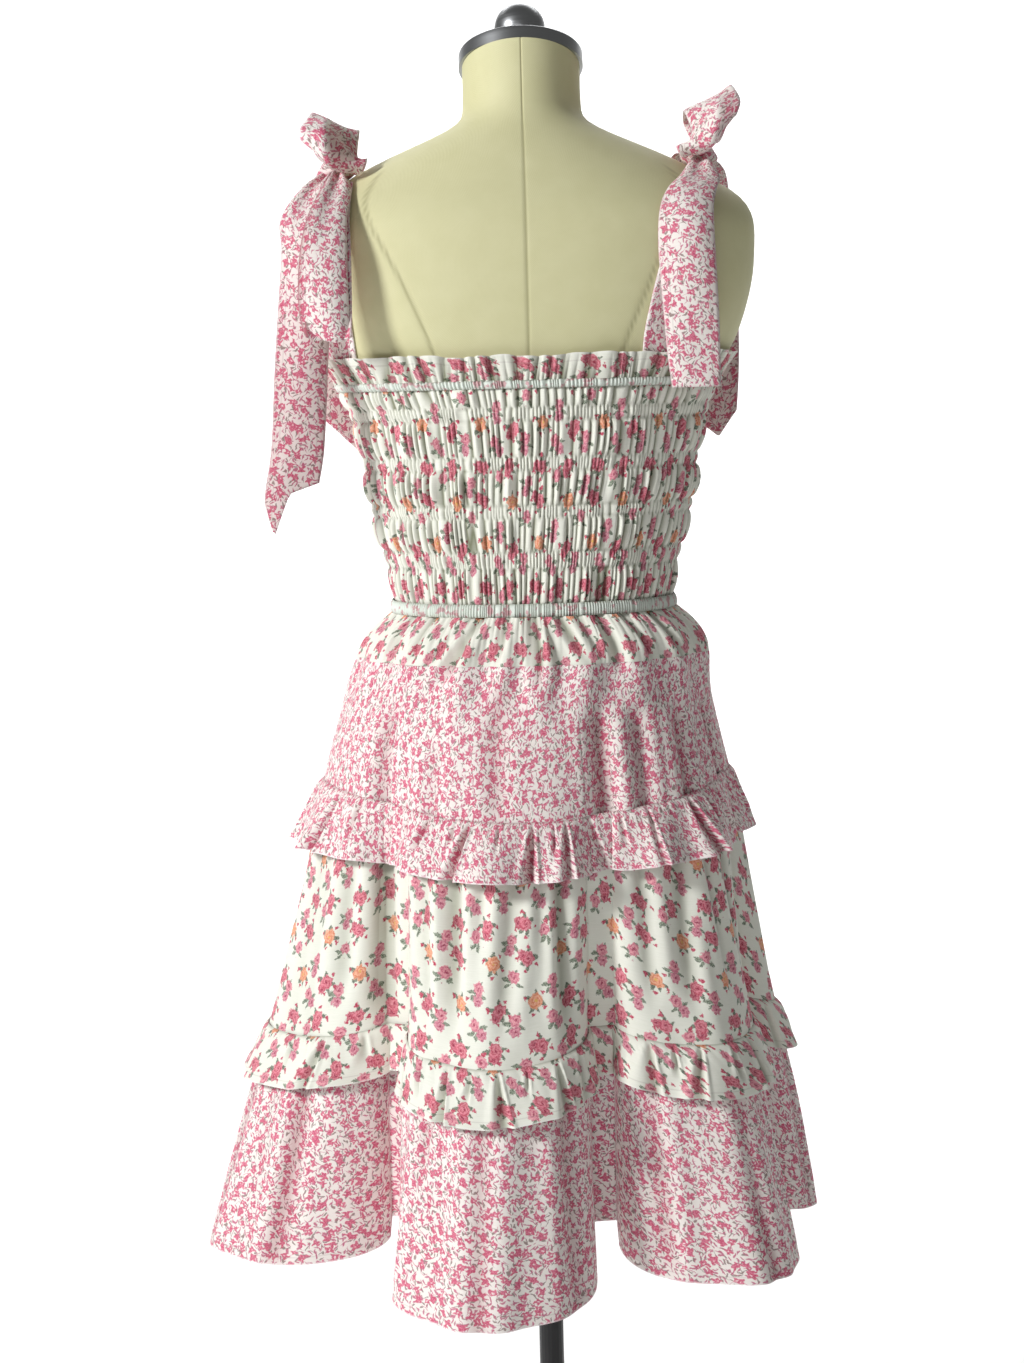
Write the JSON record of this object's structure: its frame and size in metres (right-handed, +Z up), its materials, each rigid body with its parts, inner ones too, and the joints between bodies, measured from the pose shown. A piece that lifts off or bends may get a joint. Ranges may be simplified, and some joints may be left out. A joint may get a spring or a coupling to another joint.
{
  "type": "tiered sundress on a dress form",
  "caption": "Knee-length cotton sundress with a shirred bodice, tied straps and ruffled tiers, worn on a limbless dress form on a round stand.",
  "frame": {"origin": "centre of the stand's base, on the floor", "axes": "+Z up, +X to the right as seen from behind the dress, -Y out of the middle of the dress's back"},
  "size_m": [0.4957, 0.4492, 1.4837],
  "materials": {
    "cream_floral": "matt printed cotton, rose sprays on cream",
    "pink_ditsy": "matt printed cotton, small pink flowers on white",
    "casing": "matt gathered cotton",
    "form_linen": "fine linen stretched over the form, slight sheen",
    "brushed_cap": "brushed",
    "stand_black": "semi-gloss black"
  },
  "bodies": {
    "root": {"form_torso": "form_linen", "neck_band": "brushed_cap", "neck_knob": "brushed_cap", "pole": "stand_black", "base": "stand_black", "bodice_back": "cream_floral", "bodice_front": "cream_floral", "top_frill_back": "cream_floral", "top_frill_front": "cream_floral", "top_casing_back": "casing", "top_casing_front": "casing", "waist_casing_back": "casing", "waist_casing_front": "casing", "yoke_back": "cream_floral", "yoke_front": "cream_floral", "tier_1_back": "pink_ditsy", "tier_1_front": "pink_ditsy", "ruffle_1_back": "pink_ditsy", "ruffle_1_front": "pink_ditsy", "tier_2_back": "cream_floral", "tier_2_front": "cream_floral", "ruffle_2_back": "cream_floral", "ruffle_2_front": "cream_floral", "tier_3_back": "pink_ditsy", "tier_3_front": "pink_ditsy", "strap_back_left": "pink_ditsy", "strap_back_right": "pink_ditsy", "strap_front_left": "pink_ditsy", "strap_front_right": "pink_ditsy", "tail_back_left": "pink_ditsy", "tail_back_right": "pink_ditsy", "tail_front_left": "pink_ditsy", "tail_front_right": "pink_ditsy", "loop_back_left": "pink_ditsy", "loop_front_right": "pink_ditsy", "loop_upper_left": "pink_ditsy", "loop_upper_right": "pink_ditsy", "knot_left": "pink_ditsy", "knot_right": "pink_ditsy"}
  },
  "joints": []
}
